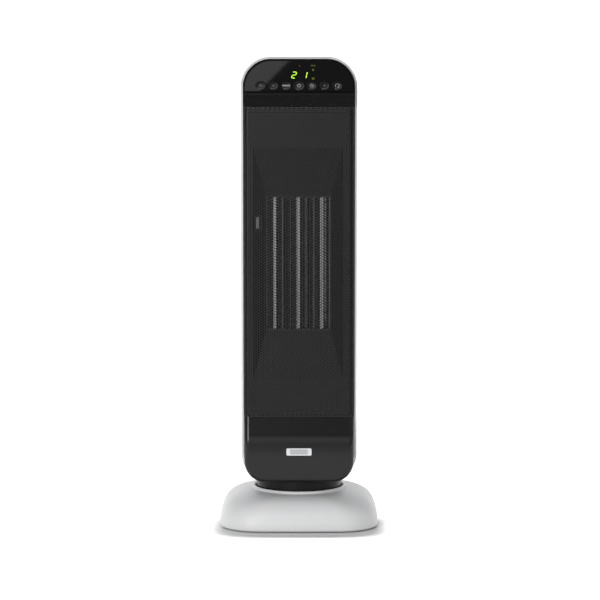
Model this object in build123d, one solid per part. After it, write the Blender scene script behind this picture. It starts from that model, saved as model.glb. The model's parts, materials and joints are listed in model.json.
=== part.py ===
"""Oscillating tower ceramic fan heater, in millimetres.

The heater stands on the floor with its swing axis on Z and its outlet grille facing -Y.
A pebble-shaped base holds the swing drive. The tower above it holds a positive temperature
coefficient (PTC) ceramic element, a vertical crossflow fan, the boards and the controls.
"""

import math
import os

from build123d import *

# ---- driving dimensions ----
BASE_WIDTH, BASE_DEPTH, BASE_CROWN = 205.0, 187.0, 44.0
BASE_RIM = 1.5  # height of the base's lower rim above the floor
BASE_FLAT = 60.0  # radius at which the base's dome meets its flat crown
BASE_DOME = 2.25  # power of the curve from the base's side up to its crown
BASE_CORNER = 50.0  # corner radius of its plan
BASE_WALL, BASE_FILLET = 3.4, 3.0
LIP_TOP = 47.4  # top of the raised lip round the neck
TOWER_TOP = 601.4
SHELL_HALF, SHELL_BOTTOM, SHELL_WALL = 74.0, 61.0, 3.0
SHELL_BACK, SHELL_MOUTH = 58.0, -46.0
SHELL_CORNER, SHELL_LOW_CORNER = 38.0, 34.0
FASCIA_HALF, FASCIA_TOP, FASCIA_BOTTOM, FASCIA_WALL = 70.0, 597.4, 58.5, 2.4
FASCIA_CORNER, FASCIA_LOW_CORNER = 35.0, 28.0
FASCIA_BACK = SHELL_MOUTH - 0.2
FASCIA_DEEP = 10.8  # how far the upper fascia's rim reaches back from the slope
GRILLE_LOW, GRILLE_HIGH, GRILLE_FRONT, GRILLE_WALL = 144.0, 538.0, -56.5, 2.0
PANEL_TILT = 36.0  # the control panel leans back from vertical, in degrees
PANEL_LOW_Z, PANEL_LOW_Y = 557.4, -60.9
NECK_RADIUS, NECK_FLOOR, NECK_TOP = 55.5, 36.0, 84.0
WINDOW_X, WINDOW_HALF, WINDOW_LOW, WINDOW_HIGH = -1.0, 41.5, 253.0, 425.0
FAN_X, FAN_Y, FAN_RADIUS, FAN_LOW, FAN_HIGH = 6.0, 14.0, 26.0, 256.0, 424.0
SHAFT_RADIUS = 2.0
SWING_CENTRE, CRANK_THROW, PIN_RADIUS, SLOT_HALF = 30.0, 17.2, 2.0, 3.7
KEY_PITCH, KEY_RADIUS, POWER_KEY_RADIUS, KEY_RISE = 16.1, 6.5, 7.4, 9.4
KEY_GAP = 0.3

TILT = math.tan(math.radians(PANEL_TILT))
PANEL = Plane(
    origin=(0, PANEL_LOW_Y, PANEL_LOW_Z),
    x_dir=(1, 0, 0),
    z_dir=(0, -math.cos(math.radians(PANEL_TILT)), math.sin(math.radians(PANEL_TILT))),
)
BIG = 1500.0  # half the size of a cutting block that passes every part
parts = {}


# ---- shared shapes ----
def box(x0, x1, y0, y1, z0, z1):
    """A box from its limits along each axis."""
    centre = ((x0 + x1) / 2, (y0 + y1) / 2, (z0 + z1) / 2)
    return Pos(*centre) * Box(abs(x1 - x0), abs(y1 - y0), abs(z1 - z0))


def rod(radius, x, y, z0, z1):
    """An upright cylinder."""
    return Pos(x, y, (z0 + z1) / 2) * Cylinder(radius, z1 - z0)


def tube(outer, inner, x, y, z0, z1):
    """An upright tube."""
    return rod(outer, x, y, z0, z1) - rod(inner, x, y, z0 - 1, z1 + 1)


def rod_y(radius, x, z, y0, y1):
    """A cylinder lying front to back."""
    return Pos(x, (y0 + y1) / 2, z) * Rot(90, 0, 0) * Cylinder(radius, abs(y1 - y0))


def front_prism(half, low, high, r_low, r_high, y0, y1):
    """A rounded rectangle seen from the front, extruded from y0 back to y1."""
    outline = Pos(0, (low + high) / 2) * Rectangle(2 * half, high - low)
    if r_low:
        outline = fillet(outline.vertices().group_by(Axis.Y)[0], r_low)
    if r_high:
        outline = fillet(outline.vertices().group_by(Axis.Y)[-1], r_high)
    plane = Plane(origin=(0, y0, 0), x_dir=(1, 0, 0), z_dir=(0, -1, 0))
    return extrude(plane * outline, -(y1 - y0))


def side_prism(edges, half):
    """A closed outline given in (y, z), extruded to both sides of the middle."""
    plane = Plane(origin=(-half, 0, 0), x_dir=(0, 1, 0), z_dir=(1, 0, 0))
    return extrude(plane * make_face(edges), 2 * half)


def panel_place(u, v, depth=0.0):
    """A place on the control panel: u across, v up the slope, depth behind its face."""
    return PANEL * Pos(u, v, -depth)


def screw(radius, head, length, head_height=1.8):
    """A pan-head screw with its head's underside at the origin, running down -Z."""
    shank = Pos(0, 0, -length / 2) * Cylinder(radius, length)
    top = Pos(0, 0, head_height / 2) * Cylinder(head, head_height)
    slot = Pos(0, 0, head_height) * (Box(head * 1.2, 0.7, 1.2) + Box(0.7, head * 1.2, 1.2))
    return shank + top - slot


# ---- base ----
def bowed_rectangle(half_w, half_d, corner, bow=4.0):
    """A rounded rectangle whose sides bow out a little."""
    w, d = half_w - bow, half_d - bow
    corners = [(w, d), (-w, d), (-w, -d), (w, -d)]
    middles = [(0, half_d), (-half_w, 0), (0, -half_d), (half_w, 0)]
    sides = [ThreePointArc(corners[i], middles[i], corners[(i + 1) % 4]) for i in range(4)]
    return fillet(make_face(Curve() + sides).vertices(), corner)


def pebble(wall, low):
    """The base's domed outer form, or the space inside it when a wall is given."""
    levels = []
    for degrees in (0, 14, 28, 42, 55, 67, 77, 85, 90):
        angle = math.radians(degrees)
        out = math.cos(angle) ** (2 / BASE_DOME)
        up = math.sin(angle) ** (2 / BASE_DOME)
        half_w = BASE_FLAT + (BASE_WIDTH / 2 - BASE_FLAT) * out - wall
        half_d = BASE_FLAT + (BASE_DEPTH / 2 - BASE_FLAT) * out - wall
        outline = bowed_rectangle(half_w, half_d, BASE_CORNER - wall)
        levels.append(Pos(0, 0, low + (BASE_CROWN - wall - low) * up) * outline)
    return loft(levels)


def gland_slot(extra):
    """The space of the cord gland in the base's rear wall."""
    return box(-8 - extra, 8 + extra, BASE_DEPTH / 2 - 18, BASE_DEPTH / 2 + 5, -5, 18 + extra)


def make_base():
    outer = pebble(0, BASE_RIM)
    outer = fillet(outer.edges().group_by(Axis.Z)[0], BASE_FILLET)
    inner = pebble(BASE_WALL, BASE_RIM - 4)
    bore = NECK_RADIUS + 1.3
    lip = make_face(
        Curve()
        + [
            Line((bore, LIP_TOP - 8), (bore, LIP_TOP - 1.2)),
            ThreePointArc((bore, LIP_TOP - 1.2), (bore + 1.4, LIP_TOP), (bore + 2.9, LIP_TOP - 1.2)),
            ThreePointArc((bore + 2.9, LIP_TOP - 1.2), (bore + 4, LIP_TOP - 3.5), (bore + 7.5, LIP_TOP - 5)),
            Polyline((bore + 7.5, LIP_TOP - 5), (bore + 7.5, LIP_TOP - 8), (bore, LIP_TOP - 8)),
        ]
    )
    shell = outer - inner + revolve(Plane.XZ * lip, Axis.Z)
    shell -= rod(bore, 0, 0, 30, 60)
    shell -= gland_slot(0.15)
    for x, y in SCREW_SPOTS:
        shell += rod(4.0, x, y, 6.0, 40.0) & outer
        shell -= rod(1.25, x, y, 0, 20.0)
    parts["base_shell"] = shell
    make_base_plate(inner)
    make_gland(outer)


SCREW_SPOTS = [(x, y) for x in (-74, 74) for y in (-62, 62)]
FOOT_SPOTS = [(x, y) for x in (-60, 60) for y in (-66, 66)]
TIP_SPOT = (-62.0, 0.0)


def make_base_plate(inner):
    slab = inner & box(-BIG, BIG, -BIG, BIG, BASE_RIM + 0.3, BASE_RIM + 3.3)
    plate = slab - gland_slot(0.15)
    for x, y in SCREW_SPOTS:
        plate -= rod(1.9, x, y, 0, 10)
        plate -= rod(3.6, x, y, 0, BASE_RIM + 2.0)
    for x, y in FOOT_SPOTS:
        plate -= rod(7.2, x, y, 0, BASE_RIM + 1.3)
    plate += tube(7.6, 5.8, *TIP_SPOT, BASE_RIM + 3.2, 15.2)
    plate -= rod(4.0, *TIP_SPOT, 0, 10)
    for i in range(-4, 5):
        plate -= box(i * 7 - 1.5, i * 7 + 1.5, 52, 72, 0, 10)
    # pillars that carry the swing deck
    for x, y in DECK_SPOTS:
        plate += tube(4.5, 1.5, x, y, BASE_RIM + 3.2, DECK_LOW)
    parts["base_plate"] = plate
    feet = [rod(7.0, x, y, 0, BASE_RIM + 1.3) for x, y in FOOT_SPOTS]
    parts["base_feet"] = Compound([fillet(f.edges().group_by(Axis.Z)[0], 0.6) for f in feet])
    screws = []
    for x, y in SCREW_SPOTS:
        screws.append(Pos(x, y, BASE_RIM + 2.0) * Rot(180, 0, 0) * screw(1.25, 3.2, 12, 1.5))
    parts["base_screws"] = Compound(screws)


def make_gland(outer):
    block = gland_slot(0) & box(-BIG, BIG, 0, BIG, BASE_RIM + 0.5, BIG) & outer
    flange = box(-10.5, 10.5, BASE_DEPTH / 2 - 17.5, BASE_DEPTH / 2 - 13.5, BASE_RIM + 3.6, 21)
    gland = block + flange
    parts["cord_gland"] = gland - rod_y(3.9, 0, 11, 40, 140)


# ---- swing drive, inside the base ----
DECK_LOW, DECK_HIGH = 26.5, 29.5
DECK_SPOTS = [(-44.6, 11.4), (44.6, 11.4), (-28.6, -36.0), (28.6, -36.0)]
MOTOR_SPOT = (0.0, SWING_CENTRE)


def make_swing_drive():
    deck = rod(60, 0, 0, DECK_LOW, DECK_HIGH)
    deck -= rod(6.5, *MOTOR_SPOT, 20, 40)
    deck -= rod(9.0, 0, -26, 20, 40)
    for x, y in DECK_SPOTS:
        deck -= rod(1.7, x, y, 20, 40)
    for side in (-1, 1):
        deck -= rod(1.6, side * 28.5, SWING_CENTRE, 20, 40)
    deck += tube(6.0, 1.6, 0, 0, DECK_HIGH - 1, 44.3)
    deck += tube(57.5, 55.8, 0, 0, DECK_HIGH - 1, 34)
    parts["swing_deck"] = deck
    parts["slide_ring"] = tube(55.0, 51.8, 0, 0, DECK_HIGH, NECK_FLOOR - 0.2)

    motor = rod(25, *MOTOR_SPOT, 8, DECK_LOW)
    motor = fillet(motor.edges().group_by(Axis.Z)[0], 1.5)
    for side in (-1, 1):
        motor += box(side * 20, side * 32, SWING_CENTRE - 5, SWING_CENTRE + 5, DECK_LOW - 1.2, DECK_LOW)
        motor -= rod(1.6, side * 28.5, SWING_CENTRE, 20, 40)
    motor += rod(5.5, *MOTOR_SPOT, DECK_LOW - 1, DECK_HIGH)
    motor += box(-8, 8, SWING_CENTRE + 20, SWING_CENTRE + 29, 12, 24)
    parts["swing_motor"] = motor

    screws = []
    for side in (-1, 1):
        screws.append(Pos(side * 28.5, SWING_CENTRE, DECK_HIGH) * screw(1.5, 2.7, 6, 1.4))
    for x, y in DECK_SPOTS:
        screws.append(Pos(x, y, DECK_HIGH) * screw(1.4, 2.8, 9, 1.4))
    parts["swing_screws"] = Compound(screws)
    parts["pivot_screw"] = Pos(0, 0, 45.5) * screw(1.55, 4.0, 13, 2.4) + rod(10.5, 0, 0, 44.3, 45.5)

    level = 31.0
    hub = rod(5.0, *MOTOR_SPOT, DECK_HIGH + 0.4, level + 2.6)
    arm = Pos(0, SWING_CENTRE + CRANK_THROW / 2, level + 1.3) * Box(6.4, CRANK_THROW, 2.6)
    tip = rod(3.2, 0, SWING_CENTRE + CRANK_THROW, level, level + 2.6)
    pin = rod(PIN_RADIUS, 0, SWING_CENTRE + CRANK_THROW, level + 2.5, 41.5)
    tail = Pos(0, SWING_CENTRE - 6, level + 1.3) * Box(5, 8, 2.6)
    parts["swing_crank"] = hub + arm + tip + tail + pin


NECK_SPOTS = [(46.5 * math.cos(a), 46.5 * math.sin(a)) for a in (0.785, 2.356, 3.927, 5.498)]


def make_neck():
    wall = tube(NECK_RADIUS, NECK_RADIUS - 3.0, 0, 0, NECK_FLOOR, NECK_TOP)
    floor = tube(NECK_RADIUS - 0.5, 6.06, 0, 0, NECK_FLOOR + 0.05, NECK_FLOOR + 4)
    hub = tube(9.2, 6.06, 0, 0, NECK_FLOOR + 3, 43.9)
    shelf = tube(NECK_RADIUS - 0.5, 42.0, 0, 0, NECK_TOP - 3, NECK_TOP)
    neck = wall + floor + hub + shelf
    # the crank pin's slot, wide enough for the pin at both ends of the swing
    reach_out = SWING_CENTRE + CRANK_THROW + PIN_RADIUS + 0.6
    neck -= box(-SLOT_HALF, SLOT_HALF, SWING_CENTRE - 5, reach_out, 30, 41)
    # kidney opening that lets the mains leads turn with the tower
    lead_way = tube(35, 16, 0, 0, 30, 42) & box(-24, 24, -60, -12, 30, 42)
    neck -= lead_way
    for x, y in NECK_SPOTS:
        neck += rod(5.0, x, y, NECK_TOP - 18, NECK_TOP)
        neck -= rod(1.4, x, y, NECK_TOP - 17, NECK_TOP + 1)
    parts["swivel_neck"] = neck


# ---- anti-tip switch ----
def make_tip_switch():
    x, y = TIP_SPOT
    plunger = rod(3.6, x, y, 0, 8.2) + rod(5.4, x, y, 8.0, 9.5) + rod(2.2, x, y, 9.4, 22.4)
    parts["tip_plunger"] = fillet(plunger.edges().group_by(Axis.Z)[0], 0.8)
    turns, pitch = 3.5, 1.4
    coil = Helix(pitch=pitch, height=turns * pitch, radius=3.1)
    wire = sweep(Plane(origin=coil @ 0, z_dir=coil % 0) * Circle(0.35), path=coil)
    parts["tip_spring"] = Pos(x, y, 9.95) * wire
    guide = tube(6.4, 2.4, x, y, 15.3, 18.0)
    body = box(x - 10, x + 10, y - 3.5, y + 3.5, 23.0, 26.3)
    lever = box(x - 9, x + 3, y - 2, y + 2, 22.5, 23.0)
    legs = box(x + 8.0, x + 10.0, y - 3.5, y + 3.5, BASE_RIM + 3.4, 23.5)
    bridge = box(x + 2, x + 9.5, y - 3.5, y + 3.5, 15.3, 18.0) - rod(6.0, x, y, 10, 30)
    parts["tip_switch"] = guide + body + lever + legs + bridge


# ---- tower casings ----
def shell_form(inset):
    """The rear casing's outer form, or its inside when it is inset."""
    form = front_prism(
        SHELL_HALF - inset,
        SHELL_BOTTOM + inset,
        TOWER_TOP - inset,
        SHELL_LOW_CORNER - inset,
        SHELL_CORNER - inset,
        -80 if inset else SHELL_MOUTH,
        SHELL_BACK - inset,
    )
    return fillet(form.edges().group_by(Axis.Y)[-1], 30 - inset)


def slant_back(offset):
    """Everything in front of a plane parallel to the control panel, offset back in Y."""
    low, high = 520.0, 640.0
    line = [(PANEL_LOW_Y + offset + (z - PANEL_LOW_Z) * TILT, z) for z in (low, high)]
    return side_prism(Polyline((-BIG, low), line[0], line[1], (-BIG, high), close=True), 120)


INLET_HALF, INLET_LOW, INLET_HIGH = 41.0, 235.0, 455.0
GRIP_HALF, GRIP_LOW, GRIP_HIGH, GRIP_DEPTH = 40.0, 536.0, 560.0, 26.0
SWITCH_X, SWITCH_Z = 20.0, 112.0
SHELL_SCREWS = [(x, z) for z in (128.0, 330.0, 500.0) for x in (-58.0, 58.0)]


def make_rear_shell():
    shell = shell_form(0) - shell_form(SHELL_WALL)
    shell -= slant_back(8.0)
    shell -= rod(NECK_RADIUS + 0.3, 0, 0, 50, NECK_TOP + 1)
    shell -= box(-INLET_HALF, INLET_HALF, 40, 80, INLET_LOW, INLET_HIGH)
    shell -= box(-GRIP_HALF, GRIP_HALF, 40, 80, GRIP_LOW, GRIP_HIGH)
    shell -= box(SWITCH_X - 6.6, SWITCH_X + 6.6, 40, 80, SWITCH_Z - 9.6, SWITCH_Z + 9.6)
    for x, z in SHELL_SCREWS:
        boss = rod_y(4.7, x, z, -41.0, 60.0) & shell_form(SHELL_WALL - 0.4)
        shell += boss
        shell -= rod_y(3.4, x, z, 36.0, 70.0)
        shell -= rod_y(1.7, x, z, -50.0, 70.0)
    parts["rear_shell"] = shell
    heads = [Pos(x, 36.0, z) * Rot(-90, 0, 0) * screw(1.5, 3.0, 81.5, 1.8) for x, z in SHELL_SCREWS]
    parts["shell_screws"] = Compound(heads)


def make_rear_fittings():
    frame = box(-INLET_HALF + 0.2, INLET_HALF - 0.2, 51.0, 55.4, INLET_LOW + 0.2, INLET_HIGH - 0.2)
    frame -= box(-INLET_HALF + 5, INLET_HALF - 5, 40, 70, INLET_LOW + 5, INLET_HIGH - 5)
    bars = []
    count = 19
    for i in range(count):
        z = INLET_LOW + 5 + (INLET_HIGH - INLET_LOW - 10) * (i + 0.5) / count
        bars.append(box(-INLET_HALF + 4.5, INLET_HALF - 4.5, 51.5, 54.9, z - 1.2, z + 1.2))
    for x in (-18, 18):
        bars.append(box(x - 1.2, x + 1.2, 51.2, 55.2, INLET_LOW + 4.5, INLET_HIGH - 4.5))
    parts["inlet_grille"] = frame + bars

    gap = 0.5
    low, high, half = INLET_LOW + gap, INLET_HIGH - gap, INLET_HALF - gap
    rim = box(-half, half, 55.8, SHELL_BACK, low, high)
    rim = fillet(rim.edges().filter_by(Axis.Y), 5)
    hole = box(-half + 6, half - 6, 50, 70, low + 6, high - 6)
    ribs = [box(-half + 5, half - 5, 56.6, 57.8, z - 0.9, z + 0.9) for z in (290, 345, 400)]
    ribs += [box(x - 0.9, x + 0.9, 56.6, 57.8, low + 5, high - 5) for x in (-13, 13)]
    tab = box(-11, 11, 57.0, 59.5, low + 1.2, low + 4.6)
    parts["filter_frame"] = rim - hole + ribs + tab
    parts["filter_mesh"] = box(-half + 6.2, half - 6.2, 55.9, 56.5, low + 6.2, high - 6.2)

    wall = 2.0
    cup = box(-GRIP_HALF + 0.2, GRIP_HALF - 0.2, SHELL_BACK - GRIP_DEPTH - wall, SHELL_BACK - 0.4,
              GRIP_LOW + 0.2, GRIP_HIGH - 0.2)
    cup -= box(-GRIP_HALF + wall, GRIP_HALF - wall, SHELL_BACK - GRIP_DEPTH, 80,
               GRIP_LOW + wall, GRIP_HIGH - wall)
    lining = box(-GRIP_HALF - 4, GRIP_HALF + 4, 52.6, 54.8, GRIP_LOW - 4, GRIP_HIGH + 4)
    lining -= box(-GRIP_HALF + 1, GRIP_HALF - 1, 40, 70, GRIP_LOW + 1, GRIP_HIGH - 1)
    parts["grip_cup"] = cup + (lining & shell_form(SHELL_WALL + 0.1))

    housing = box(SWITCH_X - 6.4, SWITCH_X + 6.4, 38, SHELL_BACK, SWITCH_Z - 9.4, SWITCH_Z + 9.4)
    housing += box(SWITCH_X - 7.5, SWITCH_X + 7.5, SHELL_BACK, SHELL_BACK + 1.6,
                   SWITCH_Z - 10.5, SWITCH_Z + 10.5)
    housing -= box(SWITCH_X - 5.2, SWITCH_X + 5.2, 46, 70, SWITCH_Z - 8.0, SWITCH_Z + 8.0)
    tags = [box(SWITCH_X - 2.4, SWITCH_X + 2.4, 31, 38.5, z - 0.4, z + 0.4)
            for z in (SWITCH_Z - 6, SWITCH_Z, SWITCH_Z + 6)]
    parts["switch_housing"] = housing + tags
    pivot_y = 54.5
    rocker_face = Polyline((50.5, -4.0), (57.2, -7.2), (58.4, 0.0), (57.2, 7.2), (50.5, 4.0), close=True)
    rocker = Pos(0, 0, SWITCH_Z) * side_prism(rocker_face, 4.9)
    rocker = Pos(SWITCH_X, 0, 0) * rocker
    turn = Pos(0, pivot_y, SWITCH_Z) * Rot(-9, 0, 0) * Pos(0, -pivot_y, -SWITCH_Z)
    parts["power_rocker"] = turn * rocker


def make_front_frame():
    inset = SHELL_WALL + 0.6
    plate = front_prism(SHELL_HALF - inset, SHELL_BOTTOM + inset, 560,
                        SHELL_LOW_CORNER - inset, 0, SHELL_MOUTH, SHELL_MOUTH + 3)
    rim = box(-66.0, 66.0, -53.5, SHELL_MOUTH + 0.5, GRILLE_LOW + 2.4, GRILLE_HIGH - 2.4)
    frame = plate + rim
    frame -= box(-63.0, 63.0, -60, -30, GRILLE_LOW + 6.5, GRILLE_HIGH - 6.5)
    frame -= rod(NECK_RADIUS + 0.3, 0, 0, 50, NECK_TOP + 1)
    # lightening windows behind the two fascias
    frame -= box(-45, 45, -60, -30, 84, 134)
    frame -= box(-50, 50, -60, -30, 545, 556)
    for x, z in SHELL_SCREWS:
        lug_x = math.copysign(abs(x) + 1.5, x)
        frame += box(lug_x - 6, lug_x + 6, SHELL_MOUTH, SHELL_MOUTH + 3, z - 4.5, z + 4.5)
        frame -= rod_y(1.52, x, z, -60, -30)
    parts["front_frame"] = frame


def fascia_section_low(wall=0.0):
    """The lower fascia's side outline, or its inside when a wall is given."""
    z_top, z_low = GRILLE_LOW - 0.4 - wall, FASCIA_BOTTOM + wall
    back = FASCIA_BACK - wall
    return Curve() + [
        Line((-55.6 + wall, z_top), (-60.7 + wall, 123.0)),
        ThreePointArc((-60.7 + wall, 123.0), (-62.35 + wall, 115.6), (-62.9 + wall, 107.0)),
        ThreePointArc((-62.9 + wall, 107.0), (-61.6 + wall, 82.0), (-57.8 + wall, z_low)),
        Polyline((-57.8 + wall, z_low), (back, z_low), (back, z_top), (-55.6 + wall, z_top)),
    ]


def make_lower_fascia():
    block = front_prism(FASCIA_HALF, FASCIA_BOTTOM, GRILLE_LOW - 0.4, FASCIA_LOW_CORNER, 0, -80, FASCIA_BACK)
    body = block & side_prism(fascia_section_low(), 120)
    front_edges = [e for e in body.edges() if e.center().Y < -50 and e.center().Z < GRILLE_LOW - 1]
    # the sides and the bottom, and not the creases that cross the front
    rim_edges = [e for e in front_edges if abs(e.center().X) > 20 or e.center().Z < FASCIA_BOTTOM + 3.5]
    body = fillet(rim_edges, 6.0)
    hollow = front_prism(FASCIA_HALF - FASCIA_WALL, FASCIA_BOTTOM + FASCIA_WALL,
                         GRILLE_LOW - 0.4 - FASCIA_WALL, FASCIA_LOW_CORNER - FASCIA_WALL, 0, -80, FASCIA_BACK)
    body -= hollow & side_prism(fascia_section_low(FASCIA_WALL), 120)
    body -= box(-44, 44, -50, -40, 86, 132)
    body -= rod(NECK_RADIUS + 0.1, 0, 0, 40, NECK_TOP + 1)
    body -= BADGE_SEAT
    parts["lower_fascia"] = body


def slope_y(z, back=0.0):
    """How far back the control panel's plane is at a height."""
    return PANEL_LOW_Y + back + (z - PANEL_LOW_Z) * TILT


def upper_outline():
    """The upper fascia's side outline: slope, lip, and a ramp down to the grille."""
    z_low, lip_z = GRILLE_HIGH + 0.4, 551.0
    bend_z = PANEL_LOW_Z + (FASCIA_BACK - PANEL_LOW_Y - FASCIA_DEEP) / TILT
    return Curve() + [
        Line((slope_y(FASCIA_TOP), FASCIA_TOP), (PANEL_LOW_Y, PANEL_LOW_Z)),
        ThreePointArc((PANEL_LOW_Y, PANEL_LOW_Z), (-61.5, PANEL_LOW_Z - 3.2), (-60.9, lip_z)),
        Polyline(
            (-60.9, lip_z),
            (-55.9, z_low),
            (FASCIA_BACK, z_low),
            (FASCIA_BACK, bend_z),
            (slope_y(FASCIA_TOP, FASCIA_DEEP), FASCIA_TOP),
            (slope_y(FASCIA_TOP), FASCIA_TOP),
        ),
    ]


def upper_hollow():
    """The side outline of the space inside the upper fascia."""
    z_low, z_top = GRILLE_HIGH + 0.4 + FASCIA_WALL, FASCIA_TOP - FASCIA_WALL
    return Polyline(
        (slope_y(z_top, 4.6), z_top),
        (PANEL_LOW_Y + 4.6, PANEL_LOW_Z - 2),
        (-50.8, z_low),
        (-20.0, z_low),
        (0.0, z_top),
        close=True,
    )


def tilted_slab(z_above, depth):
    """A slab just under the control panel's face, above a height."""
    slab = PANEL * Pos(0, 0, -depth / 2) * Box(BIG, BIG, depth)
    return slab & box(-BIG, BIG, -BIG, BIG, z_above, BIG)


def key_spots():
    """Name, place across the panel and radius of each key, from left to right."""
    names = ["light", "minus", "mode", "power", "timer", "plus", "swing"]
    for i, name in enumerate(names):
        radius = POWER_KEY_RADIUS if name == "power" else KEY_RADIUS
        yield name, (i - 3) * KEY_PITCH, radius


DISPLAY_U, DISPLAY_V, DISPLAY_HALF_W, DISPLAY_HALF_H = 5.0, 31.0, 24.0, 12.4
LENS_THICK, LENS_EDGE = 2.0, 1.5


def lens_form(edge):
    """The control lens, or its seat, set in from the upper fascia's outline by an edge."""
    form = front_prism(FASCIA_HALF - edge, PANEL_LOW_Z, FASCIA_TOP - edge, 0, FASCIA_CORNER - edge, -80, 0)
    return form & tilted_slab(PANEL_LOW_Z + edge - 0.9, LENS_THICK)


def make_upper_fascia():
    block = front_prism(FASCIA_HALF, GRILLE_HIGH + 0.4, FASCIA_TOP, 0, FASCIA_CORNER, -80, 0)
    body = block & side_prism(upper_outline(), 120)
    hollow = front_prism(FASCIA_HALF - FASCIA_WALL, GRILLE_HIGH + 0.4 + FASCIA_WALL,
                         FASCIA_TOP - FASCIA_WALL, 0, FASCIA_CORNER - FASCIA_WALL, -80, 0)
    body -= hollow & side_prism(upper_hollow(), 120)
    body -= lens_form(LENS_EDGE)
    lens = lens_form(LENS_EDGE + 0.15)
    for _, u, radius in key_spots():
        lens -= panel_place(u, KEY_RISE) * Cylinder(radius + KEY_GAP, 8)
        body -= panel_place(u, KEY_RISE) * Cylinder(radius + KEY_GAP + 0.3, 30)
    body -= panel_place(DISPLAY_U, DISPLAY_V) * Box(2 * DISPLAY_HALF_W, 2 * DISPLAY_HALF_H, 20)
    parts["upper_fascia"] = body
    parts["control_lens"] = lens


def make_controls():
    board_at = 8.2
    board = panel_place(0, 24.5, board_at + 0.8) * Box(118, 37, 1.6)
    inset = FASCIA_WALL + 1
    room = front_prism(FASCIA_HALF - inset, 500, FASCIA_TOP - inset, 0, FASCIA_CORNER - inset, -80, 0)
    parts["control_board"] = board & room
    switches = []
    for name, u, radius in key_spots():
        cap = panel_place(u, KEY_RISE, 2.3) * Cylinder(radius, 4.6)
        cap = fillet(cap.edges().filter_by(GeomType.CIRCLE).sort_by(Axis.Y)[:1], 0.5)
        stem = panel_place(u, KEY_RISE, 5.3) * Cylinder(2.2, 1.6)
        parts["key_" + name] = cap + stem
        switches.append(panel_place(u, KEY_RISE, board_at - 0.45) * Box(5.6, 5.6, 0.9))
    parts["key_switches"] = Compound(switches)
    can = panel_place(DISPLAY_U, DISPLAY_V, 5.2) * Box(
        2 * DISPLAY_HALF_W - 1, 2 * DISPLAY_HALF_H - 1, 6.0 - 0.01
    )
    parts["display_module"] = can & panel_place(0, 0, 50 + LENS_THICK + 0.2) * Box(BIG, BIG, 100)


# ---- badge ----
BADGE_Z, BADGE_HALF_W, BADGE_HALF_H = 99.5, 16.0, 4.6


def badge_block(extra, y1):
    block = box(-BADGE_HALF_W - extra, BADGE_HALF_W + extra, -70, y1,
                BADGE_Z - BADGE_HALF_H - extra, BADGE_Z + BADGE_HALF_H + extra)
    return fillet(block.edges().filter_by(Axis.Y), 1.6)


def make_badge():
    face = side_prism(Polyline((-62.95, 0), (-61.4, 0), (-61.4, 300), (-62.95, 300), close=True), 60)
    raised = badge_block(0, -61.5) & Pos(0, -0.25, 0) * face
    parts["badge"] = raised


BADGE_SEAT = badge_block(0.15, -61.5)


# ---- outlet grille, duct and element ----
def make_front_grille():
    def channel(half, front, radius, back):
        outline = Pos(0, (front + back) / 2) * Rectangle(2 * half, back - front)
        outline = fillet(outline.vertices().group_by(Axis.Y)[0], radius)
        return extrude(outline, GRILLE_HIGH - GRILLE_LOW)

    back = FASCIA_BACK
    skin = channel(FASCIA_HALF, GRILLE_FRONT, 6.5, back)
    skin -= channel(FASCIA_HALF - GRILLE_WALL, GRILLE_FRONT + GRILLE_WALL, 4.5, back + 1)
    skin = Pos(0, 0, GRILLE_LOW) * skin
    columns, rows, web = 16, 4, 4.0
    pitch = 124.0 / columns
    height = (GRILLE_HIGH - GRILLE_LOW - 12.0 - (rows - 1) * web) / rows
    slots = []
    for i in range(columns):
        x = -62.0 + pitch * (i + 0.5)
        for j in range(rows):
            z = GRILLE_LOW + 6.0 + j * (height + web)
            slots.append(box(x - 2.4, x + 2.4, -70, -52, z, z + height))
    parts["front_grille"] = skin - slots


DUCT_FRONT, DUCT_THROAT = -53.0, -39.0


def make_outlet_duct():
    def funnel(grow, y0, y1, slope_pad=0.0):
        front = Plane(origin=(WINDOW_X, y0, 0), x_dir=(1, 0, 0), z_dir=(0, -1, 0))
        back = Plane(origin=(WINDOW_X, y1, 0), x_dir=(1, 0, 0), z_dir=(0, -1, 0))
        mid = (WINDOW_LOW + WINDOW_HIGH) / 2
        wide = front * Pos(0, mid) * Rectangle(2 * (57.0 + grow), 296 + 2 * grow)
        throat = back * Pos(0, mid) * Rectangle(
            2 * (WINDOW_HALF + grow), WINDOW_HIGH - WINDOW_LOW + 2 * grow
        )
        return loft([wide, throat])

    flange = box(-62.6, 62.6, DUCT_FRONT, DUCT_FRONT + 2, GRILLE_LOW + 7, GRILLE_HIGH - 7)
    duct = flange + funnel(2.0, DUCT_FRONT + 0.6, DUCT_THROAT)
    duct -= funnel(0.0, DUCT_FRONT - 0.01, DUCT_THROAT + 0.01)
    duct -= funnel(0.0, DUCT_FRONT - 1, DUCT_FRONT + 0.5)
    duct -= cutout_block(0)
    clip = cutout_block(0) & box(-BIG, BIG, -52.8, -38, 0, BIG)
    clip -= box(CUTOUT_X - 3.2, CUTOUT_X + 3.2, -60, -42, CUTOUT_Z - 8, CUTOUT_Z + 8)
    parts["outlet_duct"] = duct + clip


CUTOUT_X, CUTOUT_Z = -52.0, 391.0


def cutout_block(extra):
    return box(CUTOUT_X - 4.5 - extra, CUTOUT_X + 4.5 + extra, -60, -30,
               CUTOUT_Z - 10 - extra, CUTOUT_Z + 10 + extra)


def make_thermal_cutout():
    body = box(CUTOUT_X - 1.9, CUTOUT_X + 0.3, -51.6, -42, CUTOUT_Z - 5.8, CUTOUT_Z + 5.8)
    body += box(CUTOUT_X - 2.6, CUTOUT_X + 1.0, -46.5, -42, CUTOUT_Z - 7.2, CUTOUT_Z + 7.2)
    parts["thermal_cutout"] = body


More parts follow.
